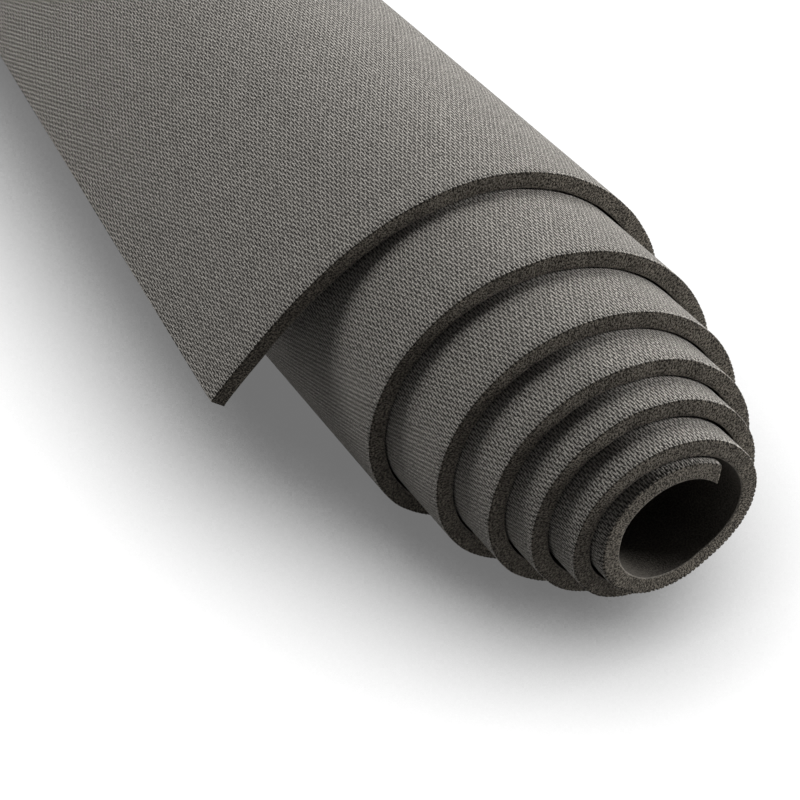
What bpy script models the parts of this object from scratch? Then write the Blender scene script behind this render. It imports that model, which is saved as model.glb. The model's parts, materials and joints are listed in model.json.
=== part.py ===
"""Exercise mat, rolled up and lying on its side, its turns pushed out like a telescope.

The mat is one foam sheet bonded from three layers. It is wound outwards from its inner end, each
turn standing a little further back than the one inside it, and its outer end lets go of the roll
near the top and hangs down beside it. Every layer is a separate solid. The winding is divided into
turns that slide along the roll, and its last part into panels that peel off it and lie down flat.

Seen along +Y the winding runs anticlockwise, and angles start at +X. The roll lies along Y, with
the end that stands out towards -Y, on a floor at z = 0.
"""

import bpy
import bmesh
from math import atan2, ceil, cos, floor, hypot, pi, radians, sin
from mathutils import Vector

# The flat sheet: its width across, and its layers from the back to the gripping face
sheet_width = 0.610
base_foam_thickness = 0.0026
scrim_thickness = 0.0004
grip_foam_thickness = 0.0028
bond_gap = 0.0003

# The winding: its bore, the clearance outside each turn from the core out, and where each turn
# climbs over the one inside it, as shares of a turn counted from the inner end
inner_end_angle = radians(53.6)
bore_radius = 0.0202
turn_gaps = (0.00092, 0.00100, 0.00068, 0.00066, 0.00068, 0.00075, 0.00075)
climb_start_share = 0.6845
climb_end_share = 0.8995
squash_share = 0.033
squash_lean = radians(-3.4)

# How far each turn stands back from the one inside it, and how the loose end goes on standing back
turn_setbacks = (0.0027, 0.0120, 0.0133, 0.0183, 0.0275, 0.0430)
loose_end_setback_share = 0.113

# The outer end lets go of the roll here and straightens out over its length. Its edge was cut square
# to the long edges, which climb round the roll, so it leans back across the mat
release_angle = radians(360 * 6 + 76.1)
loose_end_length = 0.1352
end_edge_lean_share = 0.098

# How the winding is divided: the turns' slits lie just past the line that the roll stands on, and the
# outer wrap starts to peel a little further round, from where its panels clear the roll as they open
slit_angle = radians(280)
peel_start_angle = radians(305)
sliding_turns = 5
wrap_panels = 4
loose_panels = 4
slit_width = 0.0003

# Facets and the flat that the roll stands on
turn_facet = radians(8)
panel_facets = 4
loose_end_steps = 48
probe_distance = 0.0001
rest_flat_depth = 0.0005
cutter_overrun = 0.010

full_turn = 2 * pi
sheet_thickness = base_foam_thickness + scrim_thickness + grip_foam_thickness + 2 * bond_gap
peel_start_place = peel_start_angle + sliding_turns * full_turn
resting_place = 3 * pi / 2 + sliding_turns * full_turn

LAYERS = (
    ("base_foam", 0.0, base_foam_thickness),
    ("scrim", base_foam_thickness + bond_gap, scrim_thickness),
    ("grip_foam", base_foam_thickness + scrim_thickness + 2 * bond_gap, grip_foam_thickness),
)


def clear_scene():
    """Removes whatever the scene holds."""
    for item in list(bpy.data.objects):
        bpy.data.objects.remove(item, do_unlink=True)


def eased(values, place):
    """Reads a smooth curve through values, one unit apart."""
    last = len(values) - 1
    start = min(max(floor(place), 0), last - 1)
    share = place - start
    slopes = []
    for index in (start, start + 1):
        low, high = max(index - 1, 0), min(index + 1, last)
        slopes.append((values[high] - values[low]) / (high - low))
    rise = values[start + 1] - values[start]
    bend = slopes[0] + slopes[1] - 2 * rise
    return values[start] + share * (slopes[0] + share * (3 * rise - 2 * slopes[0] - slopes[1] + share * bend))


def running_totals(steps):
    """Adds up steps, starting at zero."""
    totals = [0.0]
    for step in steps:
        totals.append(totals[-1] + step)
    return totals


setbacks = running_totals(turn_setbacks)
climbs = running_totals(sheet_thickness + gap for gap in turn_gaps)


def wound_radius(angle):
    """Radius of the sheet's back face, which climbs over the turn inside it once a turn."""
    turns = (angle - inner_end_angle) / full_turn
    turn = max(floor(turns), 0)
    climbed = (turns - turn - climb_start_share) / (climb_end_share - climb_start_share)
    climbed = min(max(climbed, 0.0), 1.0)
    ramp = climbed * climbed * (3 - 2 * climbed)
    radius = bore_radius + climbs[turn] + (climbs[turn + 1] - climbs[turn]) * ramp
    return radius * (1 + squash_share * cos(2 * (angle - squash_lean)))


def wound_point(angle):
    """A point of the back face on the wound part, as x, z and the near edge's y."""
    radius = wound_radius(angle)
    setback = eased(setbacks, (angle - inner_end_angle) / full_turn)
    return Vector((radius * cos(angle), setback, radius * sin(angle)))


release_radius = wound_radius(release_angle)
release_point = wound_point(release_angle)
release_probe = wound_point(release_angle - probe_distance / release_radius)
release_heading = atan2(release_point.z - release_probe.z, release_point.x - release_probe.x)


def loose_point(distance):
    """A point of the back face on the loose end, whose bend eases off evenly to nothing."""
    x, z = release_point.x, release_point.z
    step = distance / loose_end_steps
    for index in range(loose_end_steps):
        reached = (index + 0.5) * step
        heading = release_heading + (reached - reached ** 2 / (2 * loose_end_length)) / release_radius
        x += step * cos(heading)
        z += step * sin(heading)
    return Vector((x, release_point.y + loose_end_setback_share * distance, z))


def path_point(place):
    """A point of the back face. place is an angle, which past the release runs on along the loose end."""
    if place <= release_angle:
        return wound_point(place)
    return loose_point((place - release_angle) * release_radius)


def outward(place):
    """The direction from the back face to the gripping face, square to the sheet."""
    probe = probe_distance / release_radius
    before, after = path_point(place - probe), path_point(place + probe)
    along = Vector((after.x - before.x, 0, after.z - before.z)).normalized()
    return Vector((along.z, 0, -along.x))


def face_point(place, depth):
    """A point of the near edge, depth above the back face."""
    return path_point(place) + outward(place) * depth


def trimmed(first, last):
    """Draws the two ends of a stretch in by half a slit each, unless they end the sheet."""
    if first > inner_end_angle:
        first += slit_width / 2 / hypot(path_point(first).x, path_point(first).z)
    if last < loose_end_place:
        last -= slit_width / 2 / hypot(path_point(last).x, path_point(last).z)
    return first, last


def evenly(first, last, count):
    """Places from first to last, with count steps between them."""
    return [first + (last - first) * index / count for index in range(count + 1)]


loose_end_place = release_angle + loose_end_length / release_radius
far_corner_place = loose_end_place - end_edge_lean_share * sheet_width / release_radius


def far_reach(place):
    """How far the sheet reaches across the mat, which is less than its width where the end edge leans."""
    remaining = (loose_end_place - place) * release_radius
    return min(sheet_width, remaining / end_edge_lean_share)


def turn_stretches():
    """The core, the sliding turns and the standing turn, from the inside out."""
    names = ["core_turn", "second_turn", "third_turn", "fourth_turn", "fifth_turn", "standing_turn"]
    stretches = []
    first = inner_end_angle
    for index, name in enumerate(names):
        last = slit_angle + index * full_turn if index < sliding_turns else peel_start_place
        ends = trimmed(first, last)
        stretches.append((name, evenly(*ends, ceil((last - first) / turn_facet))))
        first = last
    return stretches


def panel_bounds():
    """Where the panels of the outer wrap and of the loose end begin and end."""
    wrap = evenly(peel_start_place, release_angle, wrap_panels)
    loose = evenly(release_angle, loose_end_place, loose_panels)
    return wrap + loose[1:]


def panel_stretches():
    """The panels that peel off the roll, from the standing turn to the loose edge."""
    bounds = panel_bounds()
    stretches = []
    for index, (first, last) in enumerate(zip(bounds, bounds[1:])):
        name = f"peel_panel_{index + 1}" if index < wrap_panels else f"flap_panel_{index + 1 - wrap_panels}"
        ends = trimmed(first, last)
        places = evenly(*ends, panel_facets)
        if ends[0] < far_corner_place < ends[1]:
            nearest = min(places[1:-1], key=lambda place: abs(place - far_corner_place))
            places[places.index(nearest)] = far_corner_place
        stretches.append((name, places))
    return stretches


def frame_offset(stretches):
    """Moves the roll onto the floor, with the middle of its box over the origin."""
    places = [place for _, stretch in stretches for place in stretch]
    corners = [face_point(place, depth) for place in places for depth in (0.0, sheet_thickness)]
    middle_x = (min(p.x for p in corners) + max(p.x for p in corners)) / 2
    far_edge = max(path_point(place).y + far_reach(place) for place in places)
    middle_y = (path_point(inner_end_angle).y + far_edge) / 2
    floor_z = face_point(resting_place, sheet_thickness).z + rest_flat_depth
    return Vector((-middle_x, -middle_y, -floor_z))


def foam_material(name, colour, roughness):
    """A plain material for one layer."""
    material = bpy.data.materials.new(name)
    material.use_nodes = True
    shader = material.node_tree.nodes["Principled BSDF"]
    shader.inputs["Base Color"].default_value = (*colour, 1.0)
    shader.inputs["Roughness"].default_value = roughness
    shader.inputs["Metallic"].default_value = 0.0
    material.diffuse_color = (*colour, 1.0)
    return material


def layer_object(name, places, depth, thickness, offset, carrier, material, collection):
    """One layer of one stretch: strips from its near edge across the mat, then thickened. Where the
    end edge leans down to the near corner, the last strip ends in a point."""
    surface = bmesh.new()
    near = [surface.verts.new(face_point(place, depth) + offset - carrier.matrix_world.translation)
            for place in places]
    far = [surface.verts.new(vert.co + Vector((0, far_reach(place), 0)))
           for vert, place in zip(near, places)]
    for index in range(len(places) - 1):
        surface.faces.new((near[index], near[index + 1], far[index + 1], far[index]))
    bmesh.ops.remove_doubles(surface, verts=surface.verts, dist=probe_distance)
    surface.faces.ensure_lookup_table()
    surface.normal_update()
    if surface.faces[0].normal.dot(outward(places[0])) < 0:
        bmesh.ops.reverse_faces(surface, faces=surface.faces)
    mesh = bpy.data.meshes.new(name)
    surface.to_mesh(mesh)
    surface.free()
    mesh.materials.append(material)
    piece = bpy.data.objects.new(name, mesh)
    collection.objects.link(piece)
    piece.parent = carrier
    shell = piece.modifiers.new("thickness", "SOLIDIFY")
    shell.thickness = thickness
    shell.offset = 1.0
    shell.use_even_offset = True
    return piece


def carrier_empty(name, place, depth, offset, parent, collection):
    """The empty that a body turns or slides by, on its joint's axis."""
    empty = bpy.data.objects.new(name, None)
    empty.empty_display_size = sheet_thickness
    collection.objects.link(empty)
    here = offset if place is None else face_point(place, depth) + offset
    empty.parent = parent
    empty.location = here - parent.matrix_world.translation if parent else here
    bpy.context.view_layer.update()
    return empty


def rest_flat_cutter(collection):
    """A box under the roll that takes the flat off its standing turn."""
    length = sheet_width + setbacks[-1] + 2 * cutter_overrun
    bpy.ops.mesh.primitive_cube_add(size=1.0)
    cutter = bpy.context.object
    cutter.name = "rest_flat_cutter"
    cutter.scale = (4 * bore_radius, length, cutter_overrun)
    cutter.location = (parts_offset.x, 0, -cutter_overrun / 2)
    cutter.hide_render = True
    cutter.display_type = "WIRE"
    for holder in list(cutter.users_collection):
        holder.objects.unlink(cutter)
    collection.objects.link(cutter)
    return cutter


def least_turn_gap(first, last):
    """The least gap between the gripping face of a stretch and the back face one turn outside it."""
    places = evenly(first, last, panel_facets * ceil((last - first) / turn_facet))
    least = sheet_width
    for place in places:
        top = face_point(place, sheet_thickness)
        nearby = evenly(place + full_turn - turn_facet, place + full_turn + turn_facet, 2 * panel_facets)
        backs = [path_point(other) for other in nearby]
        for start, end in zip(backs, backs[1:]):
            along = Vector((end.x - start.x, end.z - start.z))
            away = Vector((top.x - start.x, top.z - start.z))
            share = min(max(away.dot(along) / along.length_squared, 0.0), 1.0)
            least = min(least, (away - share * along).length)
    return least


def mean_setback(places):
    """How far back the near edge of a stretch lies on average."""
    return sum(path_point(place).y for place in places) / len(places)


def middle_length(stretches):
    """The sheet's length along its middle."""
    ends = [face_point(place, sheet_thickness / 2) for _, places in stretches for place in places]
    return sum(hypot(b.x - a.x, b.z - a.z) for a, b in zip(ends, ends[1:]))


clear_scene()
parts = bpy.data.collections.new("exercise_mat")
cutters = bpy.data.collections.new("exercise_mat_cutters")
bpy.context.scene.collection.children.link(parts)
bpy.context.scene.collection.children.link(cutters)

materials = {
    "base_foam": foam_material("base_foam", (0.105, 0.095, 0.083), 0.85),
    "scrim": foam_material("scrim", (0.42, 0.40, 0.36), 0.7),
    "grip_foam": foam_material("grip_foam", (0.135, 0.125, 0.110), 0.8),
}

turns = turn_stretches()
panels = panel_stretches()
parts_offset = frame_offset(turns + panels)

# The standing turn carries everything: the turns inside it slide, and the panels outside it peel
carriers = {}
for name, places in reversed(turns):
    outside = carriers[last_name] if carriers else None
    carriers[name] = carrier_empty(f"{name}_carrier", None, 0, parts_offset, outside, parts)
    last_name = name
outside = carriers["standing_turn"]
for (name, places), bound in zip(panels, panel_bounds()):
    carriers[name] = carrier_empty(f"{name}_carrier", bound, sheet_thickness, parts_offset, outside, parts)
    outside = carriers[name]

pieces = {}
for name, places in turns + panels:
    for layer, depth, thickness in LAYERS:
        pieces[f"{name}_{layer}"] = layer_object(
            f"{name}_{layer}", places, depth, thickness, parts_offset, carriers[name],
            materials[layer], parts)

flat = pieces["standing_turn_grip_foam"].modifiers.new("rest_flat", "BOOLEAN")
flat.operation = "DIFFERENCE"
flat.solver = "EXACT"
flat.object = rest_flat_cutter(cutters)

print(f"sheet {middle_length(turns + panels):.4f} x {sheet_width:.4f} x {sheet_thickness:.4f} m")
for index in range(sliding_turns + 1):
    first = inner_end_angle + index * full_turn
    last = min(first + full_turn, loose_end_place - full_turn, release_angle - full_turn)
    print(f"least gap outside turn {index + 1}: {least_turn_gap(first, last) * 1000:.2f} mm")
for (name, places), (outer_name, outer_places) in zip(turns, turns[1:]):
    step = mean_setback(outer_places) - mean_setback(places)
    print(f"{name} stands {step:.5f} m out of {outer_name}")
for (name, places), bound in zip(panels, panel_bounds()):
    pivot = face_point(bound, sheet_thickness) + parts_offset
    first, last = outward(places[0]), outward(places[-1])
    bend = atan2(first.x * last.z - first.z * last.x, first.dot(last))
    print(f"{name} pivot x {pivot.x:.5f} z {pivot.z:.5f} m, bend {bend * 180 / pi:.2f} degrees")
print(f"roll axis x {parts_offset.x:.5f} z {parts_offset.z:.5f}, inner end y {parts_offset.y:.5f} m")
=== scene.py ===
# %% [markdown]
# # A rolled exercise mat
#
# The real thing is one sheet of soft foam, wound up and lying on its side. Somebody has pushed the
# turns out at one end, so they stand out of each other like the tubes of a telescope, and the outer
# end has let go of the roll and hangs down beside it.
#
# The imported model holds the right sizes, but it is cut into stiff turns and panels, with a facet
# every few degrees. This script keeps its joints and builds the sheet again as foam: smooth curves,
# soft rims, a fine emboss on the gripping face and an open grain on every cut edge.

import bpy
import json
import numpy as np
from math import pi, radians
from mathutils import Matrix, Vector


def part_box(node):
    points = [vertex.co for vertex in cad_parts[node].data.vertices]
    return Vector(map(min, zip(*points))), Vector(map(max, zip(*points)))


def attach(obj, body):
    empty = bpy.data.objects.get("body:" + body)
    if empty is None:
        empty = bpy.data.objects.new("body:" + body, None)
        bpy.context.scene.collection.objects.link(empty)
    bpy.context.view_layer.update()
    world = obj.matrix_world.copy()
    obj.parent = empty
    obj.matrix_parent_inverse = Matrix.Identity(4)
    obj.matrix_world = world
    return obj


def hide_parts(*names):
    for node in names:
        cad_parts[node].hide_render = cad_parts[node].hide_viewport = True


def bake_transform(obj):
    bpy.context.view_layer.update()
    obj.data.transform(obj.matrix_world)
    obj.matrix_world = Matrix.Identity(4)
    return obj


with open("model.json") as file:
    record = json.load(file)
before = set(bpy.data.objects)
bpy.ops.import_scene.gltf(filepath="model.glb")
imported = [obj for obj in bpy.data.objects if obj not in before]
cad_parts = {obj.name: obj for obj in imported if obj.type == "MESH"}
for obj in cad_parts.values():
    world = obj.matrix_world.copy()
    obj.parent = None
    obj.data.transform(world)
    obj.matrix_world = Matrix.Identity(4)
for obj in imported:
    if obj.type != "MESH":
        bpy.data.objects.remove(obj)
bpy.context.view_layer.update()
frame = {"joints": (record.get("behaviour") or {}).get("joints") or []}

# %% [markdown]
# ## The winding
#
# Every point of a rolled sheet follows from one curve: how far the sheet's back lies from the
# roll's axis at each angle. It keeps its radius for most of a turn, climbs over the edge beneath
# it in the rest, and sags a little into an oval. A table of closely spaced points is enough to
# read any place on it, and the table is worked out from the mat's own few sizes.

# %% Sizes of the sheet and of its winding, in metres and radians
full_turn, half_turn = 2 * pi, pi
sheet_width = 0.610
sheet_thickness = 0.0064
inner_end_angle = radians(53.6)
inner_end_reach = 0.0012
inner_end_slant = 0.0042
slant_fade = 0.015
bore_radius = 0.0202
turn_gaps = [0.00092, 0.00100, 0.00068, 0.00066, 0.00068, 0.00075, 0.00075]
climb_start_share = 0.6845
climb_end_share = 0.8995
squash_share = 0.033
squash_lean = radians(-3.4)
turn_setbacks = [0.0027, 0.0120, 0.0133, 0.0183, 0.0275, 0.0430]
loose_end_setback_share = 0.113
release_angle = radians(360 * 6 + 76.1)
loose_end_length = 0.1352
end_edge_lean_share = 0.098

slide = next(joint for joint in frame["joints"] if joint["name"] == "fifth_turn_slide")
roll_axis = Vector((slide["pos_m"][0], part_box("core_turn_base_foam")[0].y, slide["pos_m"][2]))
print("roll axis at", tuple(round(value, 5) for value in roll_axis))

# %% The curve that the sheet's back follows
climbs = np.concatenate([[0.0], np.cumsum(sheet_thickness + np.array(turn_gaps))])
setbacks = np.concatenate([[0.0], np.cumsum(turn_setbacks)])


def eased(values, place):
    """Reads a smooth curve through values, one unit apart."""
    slopes = np.gradient(values)
    start = np.clip(np.floor(place).astype(int), 0, len(values) - 2)
    share = place - start
    rise = values[start + 1] - values[start]
    bend = slopes[start] + slopes[start + 1] - 2 * rise
    turn_in = 3 * rise - 2 * slopes[start] - slopes[start + 1]
    return values[start] + share * (slopes[start] + share * (turn_in + share * bend))


def wound_curve(angles):
    """The back face on the wound part: x, z, how far back its near edge stands, and its radius."""
    turns = (angles - inner_end_angle) / full_turn
    turn = np.clip(np.floor(turns).astype(int), 0, len(turn_gaps) - 1)
    climbed = np.clip((turns - turn - climb_start_share) / (climb_end_share - climb_start_share), 0, 1)
    ramp = climbed ** 2 * (3 - 2 * climbed)
    radius = bore_radius + climbs[turn] + (climbs[turn + 1] - climbs[turn]) * ramp
    radius = radius * (1 + squash_share * np.cos(2 * (angles - squash_lean)))
    return radius * np.cos(angles), radius * np.sin(angles), eased(setbacks, turns), radius


# the table starts a little before the inner end, so that the slanted cut can be read from it too
lead_in = 0.25
wound_points, loose_points = 40001, 3001
angles = np.linspace(inner_end_angle - lead_in, release_angle, wound_points)
x, z, back, radii = wound_curve(angles)
release_radius = radii[-1]
heading = np.arctan2(z[-1] - z[-2], x[-1] - x[-2])
loose = np.linspace(0, loose_end_length, loose_points)[1:]
headings = heading + (loose - loose ** 2 / (2 * loose_end_length)) / release_radius
x = np.concatenate([x, x[-1] + np.cumsum(np.cos(headings)) * loose[0]])
z = np.concatenate([z, z[-1] + np.cumsum(np.sin(headings)) * loose[0]])
back = np.concatenate([back, back[-1] + loose_end_setback_share * loose])
places = np.concatenate([angles, release_angle + loose / release_radius])
print(f"the sheet lets go of the roll {release_radius * 1000:.1f} mm from its axis")

# %% The same curve, read by length along the middle of the sheet
along_x, along_z = np.gradient(x), np.gradient(z)
pace = np.hypot(along_x, along_z)
out_x, out_z = along_z / pace, -along_x / pace
middle_x, middle_z = x + out_x * sheet_thickness / 2, z + out_z * sheet_thickness / 2
steps = np.hypot(np.diff(middle_x), np.diff(middle_z))
runs = np.concatenate([[0.0], np.cumsum(steps)])
runs = runs - np.interp(inner_end_angle, places, runs)

# the gripping face isn't stretched by the winding, so its emboss is laid out along that face
face_steps = np.hypot(np.diff(x + out_x * sheet_thickness), np.diff(z + out_z * sheet_thickness))
face_runs = np.concatenate([[0.0], np.cumsum(face_steps)])
edge_lean = np.arctan(np.gradient(back, face_runs))
edge_runs = np.concatenate([[0.0], np.cumsum(np.hypot(face_steps, np.diff(back)))])
sheet_length = runs[-1]
corner_run = sheet_length - end_edge_lean_share * sheet_width


def run_at(place):
    """Length along the sheet at a place on the winding."""
    return float(np.interp(place, places, runs))


face_length = face_runs[-1] - np.interp(inner_end_angle, places, face_runs)
print(f"the sheet is {sheet_length:.4f} m long, and {face_length:.4f} m along its gripping face")

# %% [markdown]
# ## The emboss
#
# The gripping face is pressed with short furrows that lie across the mat, in rows set half a step
# against each other, like the stitches of a coarse cloth. A pattern like that is three sets of
# stripes added up: two that cross each other at a slant, and fine ribs across the mat where they
# meet. A furrow sits where the sum is high. The same rule serves the rim's real dents and, later,
# the shader, so the two agree.

# %% The rule of the emboss
first_stripes = (538.2, -245.3)
second_stripes = (538.2, 245.3)
stripe_weights = (1.0, 0.5, 1.6)
furrow_edge, furrow_floor = -0.2, 0.75
furrow_depth = 0.00034
row_pitch = 1 / (2 * first_stripes[0])
stitch_pitch = 1 / (2 * second_stripes[1])


def furrows(u, v):
    """How deep in a furrow a point of the flat sheet lies, from 0 to 1."""
    first = u * first_stripes[0] + v * first_stripes[1]
    second = u * second_stripes[0] + v * second_stripes[1]
    stripes = (first, second, first + second)
    total = sum(weight * np.cos(full_turn * stripe) for weight, stripe in zip(stripe_weights, stripes))
    reach = np.clip((total - furrow_edge) / (furrow_floor - furrow_edge), 0, 1)
    return reach ** 2 * (3 - 2 * reach)


print(f"furrows {row_pitch * 1000:.2f} mm apart, {stitch_pitch * 1000:.2f} mm along")

# %% [markdown]
# ## The sheet's section
#
# Cut through, the mat is a slab with two long sides and two rims. A knife leaves the rims square,
# with corners that are only a third of a millimetre round, so most of the section's points crowd
# there, where the light catches, and only a few are spent on the flat between them. The section is
# a closed loop of offsets from the near rim or from the far one.

# %% Points round the section: first by their distance from a rim and their height
corner_round = 0.00035
near_back = [(0.0090, 0.0), (0.0025, 0.0), (0.0010, 0.0), (corner_round, 0.0), (0.00010, 0.00010)]
cut_heights = (corner_round, 0.0013, 0.0023, 0.0033, 0.0043, 0.0051, 0.0056, 0.00605)
near_cut = [(0.0, height) for height in cut_heights] + [(0.00010, 0.00630)]
grip_rims = (corner_round, 0.0007, 0.00105, 0.0014, 0.0018, 0.0024, 0.0045)
near_grip = [(rim, sheet_thickness) for rim in grip_rims]
middle_shares = [0.04, 0.10, 0.18, 0.28, 0.38, 0.50, 0.62, 0.72, 0.82, 0.90, 0.96]

# then as one loop of (share of the way across, distance from a rim, height)
section = [(0.5, 0.0, 0.0)]
section += [(share, 0.0, 0.0) for share in (0.30, 0.12)]
section += [(0.0, rim, height) for rim, height in near_back + near_cut + near_grip]
section += [(share, 0.0, sheet_thickness) for share in middle_shares]
section += [(1.0, rim, height) for rim, height in reversed(near_back + near_cut[::2] + near_grip[::2])]
section += [(share, 0.0, 0.0) for share in (0.88, 0.70, 0.5)]
section = np.array(section)

# where the sheet reaches less far across than this, the two rims' points close up
rim_crowd = 2.2 * near_back[0][0]
print(len(section), "points round the section")

# %% The finish of each row of faces between two of those points
grip_finish, cut_finish, back_finish = 0, 1, 2
cut_top = 0.0062
on_cut = (section[:, 1] <= corner_round) & np.isin(section[:, 0], (0.0, 1.0))
is_cut = on_cut[:-1] & on_cut[1:] & ((section[:-1, 2] + section[1:, 2]) / 2 < cut_top)
grip_or_back = np.where(section[:-1, 2] > sheet_thickness / 2, grip_finish, back_finish)
row_finish = np.where(is_cut, cut_finish, grip_or_back)
print(is_cut.sum(), "rows are cut foam")

# %% [markdown]
# ## Winding a strip
#
# A strip of the sheet could be bent by a Curve modifier, but that twists the rims where the roll
# climbs. Instead a flat grid is added as a primitive, one column for each step along the sheet and
# one row for each point of the section, and every vertex is then carried to where the winding puts
# it. The grid closes round the section into a tube, and its two ends are filled, so that each strip
# is a solid piece of foam.

# %% Slow unevenness, the same on every run
dice = np.random.default_rng(11)
wander_step = 0.007
rim_wander_size, body_wander_size = 0.00009, 0.00005
knots = np.arange(0, sheet_length + 2 * wander_step, wander_step)
rim_wander = dice.normal(0, rim_wander_size, len(knots))
body_wander = dice.normal(0, body_wander_size, len(knots))


def wander(values, run):
    """Reads one of the uneven tables smoothly."""
    return eased(values, run / wander_step)


print("the unevenness is read from", len(knots), "places along the sheet")

# %% Where the winding puts a point of the flat sheet
def reach_at(run):
    """How far across the mat the sheet reaches, which is less where its end edge leans."""
    return np.minimum(sheet_width, (sheet_length - run) / end_edge_lean_share)


def flat_place(run, across):
    """The same point on the sheet laid flat, along its near edge and square to it."""
    lean = np.interp(run, runs, edge_lean)
    return np.interp(run, runs, edge_runs) + across * np.sin(lean), across * np.cos(lean)


def wind(run, across, height):
    """Carries points of the sheet to the roll."""
    height = height + wander(body_wander, run)
    px = np.interp(run, runs, x) + np.interp(run, runs, out_x) * height
    pz = np.interp(run, runs, z) + np.interp(run, runs, out_z) * height
    py = np.interp(run, runs, back) + across
    points = np.stack([px + roll_axis.x, py + roll_axis.y, pz + roll_axis.z], -1)
    points[..., 2] = np.maximum(points[..., 2], 0.0)
    return points


print("the loose end's near corner is at", wind(np.array([sheet_length]), 0.0, 0.0)[0].round(4))

# %% Where the section's points lie across the mat
def across_at(run, share, rim, height):
    """How far across a point lies, and how much room its rim has there, from 0 to 1."""
    # the rim's offsets turn the corner with the edge, and close up towards the loose end's tip
    reach = reach_at(run)
    stretch = np.where(run > corner_run, 1 / end_edge_lean_share, 1.0)
    near_room = np.clip(reach / rim_crowd, 0, 1)
    far_room = np.clip(reach / (rim_crowd * stretch), 0, 1) * stretch
    margin = np.where(height > sheet_thickness / 2, near_grip[-1][0], near_back[0][0])
    between = margin * near_room + share * (reach - margin * (near_room + far_room))
    near = np.where(share == 0.0, rim * near_room, between)
    across = np.where(share == 1.0, reach - rim * far_room, near)
    return across, np.where(share == 1.0, np.minimum(far_room, 1), near_room)


# %% The cut's own unevenness, and the dents of the emboss in its rim
cut_width = 0.0003
grain_size = 0.00003
dented_height = 0.006
dents_end, dents_fade, dents_lean = 0.0018, 0.0006, 0.5
rim_wander_fade = 0.02


def roughened(run, across, share, rim, height, room, u, v):
    """Lets the cut wander, raises its grain, and runs the furrows out into it."""
    on_rim = (rim < cut_width) & np.isin(share, (0.0, 1.0))
    grain = dice.normal(0, grain_size, len(run)) * on_rim * room
    rim_fade = np.clip(1 - (across - dents_end) / dents_fade, 0, 1) * (height > dented_height)
    dent = furrows(u, v) * rim_fade * furrow_depth
    cut_wander = wander(rim_wander, run) * np.clip(1 - across / rim_wander_fade, 0, 1)
    moved = across + cut_wander + grain + dent * dents_lean * (across < cut_width)
    return moved, height - dent


# %% What a strip's faces and points carry for their materials
def mark_faces(mesh, row, height, u, v):
    """Keeps each point's depth and flat place, and gives each face its finish."""
    depth = mesh.attributes.new("depth", "FLOAT", "POINT")
    depth.data.foreach_set("value", height.astype(np.float32))
    corners = np.zeros(len(mesh.loops), int)
    mesh.loops.foreach_get("vertex_index", corners)
    sheet_map = mesh.uv_layers.active or mesh.uv_layers.new(name="sheet")
    sheet_map.name = "sheet"
    sheet_map.data.foreach_set("uv", np.stack([u, v], -1)[corners].astype(np.float32).ravel())
    quad_rows = np.sort(row[corners].reshape(-1, 4), axis=1)[:, 0]
    mesh.polygons.foreach_set("material_index", row_finish[quad_rows])
    mesh.polygons.foreach_set("use_smooth", np.ones(len(mesh.polygons), bool))
    mesh.update()


# %% A strip from one place on the winding to another
column_step = row_pitch / 3
print(f"a strip has a column of points every {column_step * 1000:.2f} mm")


def deselect_all():
    for item in bpy.context.selected_objects:
        item.select_set(False)


def foam_strip(name, first, last):
    """Makes the strip between two places, as a closed solid with its flat place as its UV map."""
    first_run, last_run = run_at(first), run_at(last)
    columns = max(int(np.ceil((last_run - first_run) / column_step)), 2)
    rows = len(section) - 1
    deselect_all()
    bpy.ops.mesh.primitive_grid_add(x_subdivisions=columns, y_subdivisions=rows, size=1.0)
    strip = bpy.context.object
    strip.name = strip.data.name = name
    mesh = strip.data
    flat = np.zeros(len(mesh.vertices) * 3)
    mesh.vertices.foreach_get("co", flat)
    flat = flat.reshape(-1, 3)
    row = np.rint((flat[:, 1] + 0.5) * rows).astype(int)
    run = first_run + (last_run - first_run) * (flat[:, 0] + 0.5)
    share, rim, height = section[row].T
    across, room = across_at(run, share, rim, height)

    # the inner end was cut at a slant, so its back reaches further into the bore
    slant = inner_end_reach + inner_end_slant * (1 - height / sheet_thickness)
    run = run - slant * np.clip(1 - run / slant_fade, 0, 1)
    u, v = flat_place(run, across)
    moved, raised = roughened(run, across, share, rim, height, room, u, v)
    points = wind(run, moved, raised)
    mesh.vertices.foreach_set("co", points.astype(np.float32).ravel())
    mark_faces(mesh, row, height, u, v)
    return close_strip(strip)


seam_gap = 0.000002


def close_strip(strip):
    """Joins the tube along the back, fills both ends and turns the faces outwards."""
    deselect_all()
    strip.select_set(True)
    bpy.context.view_layer.objects.active = strip
    bpy.ops.object.mode_set(mode="EDIT")
    bpy.ops.mesh.select_all(action="SELECT")
    bpy.ops.mesh.remove_doubles(threshold=seam_gap)
    bpy.ops.mesh.select_all(action="DESELECT")
    bpy.ops.mesh.select_mode(type="EDGE")
    bpy.ops.mesh.select_non_manifold(extend=False, use_wire=False, use_multi_face=False, use_verts=False)
    bpy.ops.mesh.fill_holes(sides=0)
    bpy.ops.mesh.select_all(action="SELECT")
    bpy.ops.mesh.normals_make_consistent(inside=False)
    bpy.ops.object.mode_set(mode="OBJECT")
    for face in strip.data.polygons:
        if len(face.vertices) > 4:
            face.material_index = cut_finish
            face.use_smooth = False
    for material in (grip_face, cut_edge, back_face):
        strip.data.materials.append(material)
    bpy.ops.mesh.customdata_custom_splitnormals_clear()
    return strip


# %% [markdown]
# ## Shader arithmetic
#
# A pattern like this one is a page of sums, and a page of Math nodes is hard to read. One small
# class stands for a socket and adds the node behind each sign, so the sums can be written as sums.

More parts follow.
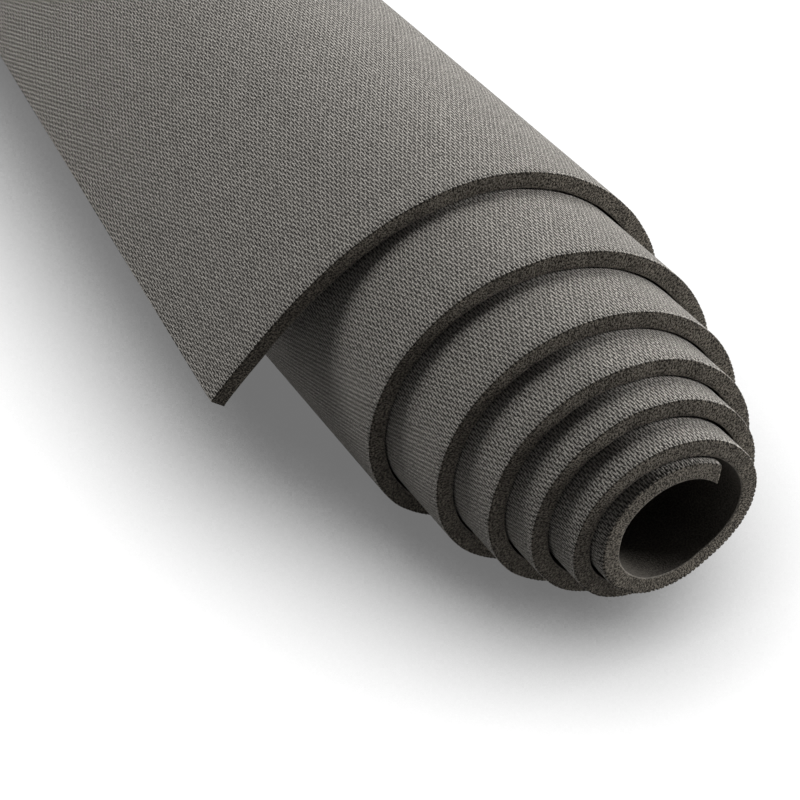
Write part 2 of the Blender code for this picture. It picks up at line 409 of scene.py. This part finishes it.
# %% A socket that adds up like a number
class Wire:
    """A socket of a shader's node tree, or the tree alone where a sum starts."""

    def __init__(self, tree, socket=None):
        self.tree = tree
        self.socket = socket

    def node(self, kind, sockets=(), output=0, **settings):
        """Adds any node: its settings first, then the values and links of its sockets."""
        made = self.tree.nodes.new("ShaderNode" + kind)
        for name, value in settings.items():
            setattr(made, name, value)
        for name, value in dict(sockets).items():
            if isinstance(value, Wire):
                self.tree.links.new(value.socket, made.inputs[name])
            else:
                made.inputs[name].default_value = value
        return Wire(self.tree, made.outputs[output])

    def maths(self, operation, *values):
        return self.node("Math", enumerate(values), operation=operation)

    def __add__(self, other):
        return self.maths("ADD", self, other)

    def __sub__(self, other):
        return self.maths("SUBTRACT", self, other)

    def __rsub__(self, other):
        return self.maths("SUBTRACT", other, self)

    def __mul__(self, other):
        return self.maths("MULTIPLY", self, other)

    __radd__, __rmul__ = __add__, __mul__

    def smooth(self, low, high):
        """0 below low, 1 above high, and smooth between them."""
        return self.node("MapRange", {"Value": self, "From Min": low, "From Max": high},
                         interpolation_type="SMOOTHSTEP")

    def mixed(self, first, second):
        """One colour where this is 0, another where it is 1."""
        return self.node("Mix", {0: self, 6: first, 7: second}, output=2, data_type="RGBA")


# %% [markdown]
# ## What the foam looks like
#
# The foam is a warm dark grey and quite matt. Three finishes share it. The gripping face is lighter
# on its ridges, with painted shade that makes its furrows nearly black. The cut shows the inside of
# the foam: a speckle of tiny light and dark cells, with painted shade in the open pores between them.
# The back is skinned over and smooth, with only a faint grain. All three are worked out from the
# place on the flat sheet, so the pattern bends with the foam and stays on it when the mat opens.

# %% The start and the end of a foam material
foam_sheen = 0.16


def new_foam(name, roughness):
    """An empty foam material: its first wire, its shader and its point on the flat sheet."""
    material = bpy.data.materials.new(name)
    material.use_nodes = True
    tree = material.node_tree
    shader = tree.nodes["Principled BSDF"]
    shader.inputs["Roughness"].default_value = roughness
    shader.inputs["Specular IOR Level"].default_value = foam_sheen
    wire = Wire(tree)
    flat = wire.node("UVMap", uv_map="sheet")
    u = flat.node("SeparateXYZ", {"Vector": flat})
    v = Wire(tree, u.socket.node.outputs[1])
    depth = wire.node("Attribute", attribute_name="depth", output=2)
    point = wire.node("CombineXYZ", {"X": u, "Y": v, "Z": depth})
    return material, shader, u, v, depth, point


def finish_foam(material, shader, colour, height, bump_depth, bump_strength):
    """Gives the shader its colour and its bump."""
    bump = height.node("Bump", {"Height": height, "Distance": bump_depth, "Strength": bump_strength})
    links = material.node_tree.links
    links.new(colour.socket, shader.inputs["Base Color"])
    links.new(bump.socket, shader.inputs["Normal"])
    print(material.name, "has", len(material.node_tree.nodes), "nodes")


# %% Noise, and the furrows as a mask
drift_u, drift_v = 0.00030, 0.0012


def noise(point, scale, detail=2.0, roughness=0.5):
    """Smooth noise on a point, from 0 to 1."""
    sockets = {"Vector": point, "Scale": scale, "Detail": detail, "Roughness": roughness}
    return point.node("TexNoise", sockets)


def furrow_mask(u, v, point):
    """The furrows of the emboss as the shader sees them, from 0 to 1."""
    u = u + (noise(point, 90.0) - 0.5) * drift_u
    v = v + (noise(point, 140.0) - 0.5) * drift_v
    first = u * first_stripes[0] + v * first_stripes[1]
    second = u * second_stripes[0] + v * second_stripes[1]
    waves = [stripe.maths("COSINE", stripe * full_turn) for stripe in (first, second, first + second)]
    weighted = [wave * weight for wave, weight in zip(waves, stripe_weights)]
    total = weighted[0] + weighted[1] + weighted[2]
    return total.smooth(furrow_edge, furrow_floor)


# %% The gripping face, with painted shade in its furrows
ridge_shades = (0.070, 0.065, 0.058, 1), (0.500, 0.474, 0.435, 1)
# painted shade, nearly black, for the shade that falls into the furrows
painted_furrow_shades = (0.004, 0.003, 0.003, 1), (0.027, 0.025, 0.021, 1)
grip_face, shader, u, v, depth, point = new_foam("grip_face", 0.82)
furrow = furrow_mask(u, v, point)
patch = noise(point, 260.0).smooth(0.25, 0.75)
fleck = noise(point, 1900.0, 3.0, 0.6).smooth(0.34, 0.66)
# how much painted furrow shade a point takes, a little less in some patches
furrow_shade_share = furrow * (0.90 + patch * 0.10)
colour = furrow_shade_share.mixed(fleck.mixed(*ridge_shades), fleck.mixed(*painted_furrow_shades))
height = (1 - furrow) + fleck * 0.30 + patch * 0.12
finish_foam(grip_face, shader, colour, height, bump_depth=0.00034, bump_strength=0.9)

# %% The cut rims: cells, open pores between them, the back's skin, and the notches of the emboss, with painted shade in the pores and the notches
cell_shades = (0.013, 0.011, 0.009, 1), (0.310, 0.277, 0.230, 1)
# painted shade, nearly black, for the inside of the open pores
painted_pore_shade = (0.012, 0.010, 0.008, 1)
skin_shade = (0.273, 0.255, 0.226, 1)
# painted shade, nearly black, for the dents where the furrows run out into the rim
painted_notch_shade = (0.010, 0.009, 0.008, 1)
cut_edge, shader, u, v, depth, point = new_foam("cut_edge", 0.9)
drawn = point.node("CombineXYZ", {"X": u, "Y": v, "Z": depth * 0.7})
cells = noise(drawn, 1700.0, 4.0, 0.7).smooth(0.41, 0.60)
pores = drawn.node("TexVoronoi", {"Vector": drawn, "Scale": 1000.0, "Randomness": 1.0})
pores = pores.smooth(0.10, 0.50)
clouds = noise(point, 160.0).smooth(0.3, 0.7)
# the open pores take the painted shade, and the cells between them a speckle of light and dark foam
cells_and_pore_shade = (pores * 0.75 + clouds * 0.25).mixed(painted_pore_shade, cells.mixed(*cell_shades))
skin = 1 - depth.smooth(0.0001, 0.0006)
# the notches take the painted shade near the gripping face's edge of the cut
notch = furrow_mask(u, v, point) * depth.smooth(0.00540, 0.00600)
colour = notch.mixed((skin * 0.55).mixed(cells_and_pore_shade, skin_shade), painted_notch_shade)
height = cells + pores * 0.6 - notch
finish_foam(cut_edge, shader, colour, height, bump_depth=0.00016, bump_strength=0.8)

# %% The back
back_shades = (0.012, 0.010, 0.008, 1), (0.107, 0.097, 0.083, 1)
back_face, shader, u, v, depth, point = new_foam("back_face", 0.7)
grain = noise(point, 1300.0, 3.0, 0.6).smooth(0.3, 0.7)
clouds = noise(point, 60.0).smooth(0.3, 0.7)
colour = (grain * 0.8 + clouds * 0.2).mixed(*back_shades)
finish_foam(back_face, shader, colour, grain, bump_depth=0.00010, bump_strength=0.8)

# %% [markdown]
# ## The turns
#
# Each turn slides in the next one out, but the foam between them isn't cut: it stretches. So the
# upper half of a turn rides on its own body, and the lower half, from the left round to the right,
# is a strip of its own that stays where it is built.

# %% The upper halves, which slide, and the lower halves, which stay where they are built
turn_names = ["core_turn", "second_turn", "third_turn", "fourth_turn", "fifth_turn", "standing_turn"]
layer_names = ["base_foam", "scrim", "grip_foam"]
peel_start_place = radians(305 + 360 * 5)


def stands_for(body):
    """Hides one body's three layers, for a foam strip to take their place."""
    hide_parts(*[f"{body}_{layer}" for layer in layer_names])


for index, body in enumerate(turn_names):
    first = inner_end_angle if index == 0 else index * full_turn
    last = index * full_turn + half_turn
    strip = foam_strip(f"{body}_crown", first, last)
    stands_for(body)
    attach(strip, body)
    if body == "standing_turn":
        break
    under = foam_strip(f"{body}_belly", last, last + half_turn)
    left, right = wind(np.array([run_at(last), run_at(last + half_turn)]), 0.0, 0.0)
    stands_for(body)
    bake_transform(under)
    print(strip.name, len(strip.data.polygons), "faces,", under.name, len(under.data.polygons))

# %% [markdown]
# ## The wrap and the loose end
#
# The outermost layer opens at eight hinges. Foam has no hinges, so each strip runs from the middle
# of one panel to the middle of the next, across the hinge between them, and stays where it is built.

# %% The panels' bounds, and the strips from middle to middle
wrap_bounds = np.linspace(peel_start_place, release_angle, 5)
loose_bounds = np.linspace(release_angle, release_angle + loose_end_length / release_radius, 5)
panel_bounds = np.concatenate([wrap_bounds, loose_bounds[1:]])
panel_names = [f"{kind}_panel_{index}" for kind in ("peel", "flap") for index in range(1, 5)]
middles = (panel_bounds[:-1] + panel_bounds[1:]) / 2
print(len(panel_names), "panels, of which half are on the loose end")


def panel_strip(name, first, last, bound, outer_body):
    """A strip from first to last in place of the outer body's layers; the hinge at bound is found, but
    the strip is not bent there.
    """
    strip = foam_strip(name, first, last)
    stands_for(outer_body)
    spots = np.array([run_at(place) for place in (first, bound, last)])
    start, hinge, end = wind(spots, 0.0, sheet_thickness / 2)
    hinge = Vector((hinge[0], 0, hinge[2]))
    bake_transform(strip)
    return strip


# %% The strips, from the standing turn's underside to the loose end's tip
wrap_lead_in = radians(12)
wrap_start = peel_start_place - wrap_lead_in
standing_belly = foam_strip("standing_turn_belly", 5 * full_turn + half_turn, wrap_start)
stands_for("standing_turn")
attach(standing_belly, "standing_turn")
inner_bodies = ["standing_turn"] + panel_names[:-1]
starts = np.concatenate([[wrap_start], middles[:-1]])
panels = zip(panel_names, inner_bodies, starts, middles, panel_bounds)
for name, inner_body, first, last, bound in panels:
    panel_strip(f"{name}_foam", first, last, bound, name)
tip = foam_strip("loose_end_tip", middles[-1], panel_bounds[-1])
stands_for("flap_panel_4")
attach(tip, "flap_panel_4")
print("strips on the wrap and the loose end:", len(panel_names) + 1)

# %% [markdown]
# ## Floor, light and camera
#
# The mat lies on white paper. Three soft lamps stand round it: one to its right, so that every turn
# shades the next one on its left, one behind it for the tops of the turns, and a low one in front
# for the cut edges. A product photo keeps only the soft shade close to the object and whitens the
# rest of its paper. The floor does the same: what the camera sees of it is as bright as the part
# of the room that a point of it can see.

# %% White floor that keeps the shade round the mat
deselect_all()
floor_size, floor_drop = 14.0, 0.0002
bpy.ops.mesh.primitive_plane_add(size=floor_size, location=(0, 0, -floor_drop))
floor = bpy.context.object
floor.name = "paper_floor"
paper = bpy.data.materials.new("white_paper")
paper.use_nodes = True
paper_shader = paper.node_tree.nodes["Principled BSDF"]
paper_shader.inputs["Base Color"].default_value = (0.50, 0.50, 0.50, 1)
paper_shader.inputs["Roughness"].default_value = 0.9
paper_shader.inputs["Specular IOR Level"].default_value = 0.1
floor.data.materials.append(paper)


def seen_share(sky):
    """1 for the rays that show a background, 0 for those that light the object."""
    rays = sky.node("LightPath")
    share = rays
    for name in ("Is Glossy Ray", "Is Transmission Ray"):
        share = share.maths("MAXIMUM", share, Wire(sky.tree, rays.socket.node.outputs[name]))
    return share


# %% How bright the camera sees the floor
shade_reach, shade_samples = 1.2, 16
sky_gain, sky_loss, deepest_shade = 1.84, 0.475, 0.16
start = Wire(paper.node_tree)
open_sky = start.node("AmbientOcclusion", {"Distance": shade_reach}, output=1, samples=shade_samples)
brightness = open_sky.maths("MAXIMUM", open_sky * sky_gain - sky_loss, deepest_shade)
glow = start.node("Emission", {"Strength": brightness})
bare = Wire(paper.node_tree, paper_shader.outputs["BSDF"])
shown = start.node("MixShader", {0: seen_share(start), 1: bare, 2: glow})
paper.node_tree.links.new(shown.socket, paper.node_tree.nodes["Material Output"].inputs["Surface"])
print(floor.name, "is", floor_size, "m wide")

# %% Soft lamps: their azimuth and elevation in degrees, width in metres and power in watts
lamp_target = Vector((0.03, -0.15, 0.06))
lamp_distance = 1.7
lamps = {
    "key_from_the_right": (42, 40, 1.4, 21.2),
    "lamp_behind": (118, 50, 0.9, 22.6),
    "low_lamp_in_front": (340, 18, 0.8, 32.6),
}
for name, (azimuth, elevation, size, energy) in lamps.items():
    lamp_data = bpy.data.lights.new(name, "AREA")
    lamp_data.shape = "DISK"
    lamp_data.size = size
    lamp_data.energy = energy
    lamp = bpy.data.objects.new(name, lamp_data)
    bpy.context.scene.collection.objects.link(lamp)
    turn, tilt = radians(azimuth), radians(elevation)
    direction = Vector((np.cos(tilt) * np.cos(turn), np.cos(tilt) * np.sin(turn), np.sin(tilt)))
    lamp.location = lamp_target + direction * lamp_distance
    lamp.rotation_euler = direction.to_track_quat("Z", "Y").to_euler()
print(len(lamps), "lamps")

# %% A white room, almost for the background alone
world = bpy.data.worlds.new("white_room")
bpy.context.scene.world = world
world.use_nodes = True
room_light = world.node_tree.nodes["Background"]
room_light.inputs["Color"].default_value = (1, 1, 1, 1)
room_fill = 0.031
room = seen_share(Wire(world.node_tree)) * (1 - room_fill) + room_fill
world.node_tree.links.new(room.socket, room_light.inputs["Strength"])
print(f"{world.name} lights the mat at {room_fill:.1%} of white")

# %% Camera, at the photograph's place and angle
camera_data = bpy.data.cameras.new("camera")
camera_data.sensor_width = 36.0
camera_data.lens = 94.886
camera = bpy.data.objects.new("camera", camera_data)
bpy.context.scene.collection.objects.link(camera)
camera_right = Vector((0.8708, -0.49162, -0.00255))
camera_down = Vector((-0.30611, -0.53814, -0.7853))
camera_forward = Vector((0.3847, 0.68463, -0.61911))
camera_eye = Vector((-0.32621, -0.39999, 0.45486)) + roll_axis
turned = Matrix((camera_right, -camera_down, -camera_forward)).transposed().to_4x4()
camera.matrix_world = Matrix.Translation(camera_eye) @ turned
camera_data.clip_start = 0.05
camera_data.clip_end = 30.0
bpy.context.scene.camera = camera
bpy.context.scene.view_settings.view_transform = "Standard"
camera_distance = (camera_eye - roll_axis).length
print(f"camera {camera_distance:.2f} m from the roll's near end, with a {camera_data.lens:.0f} mm lens")
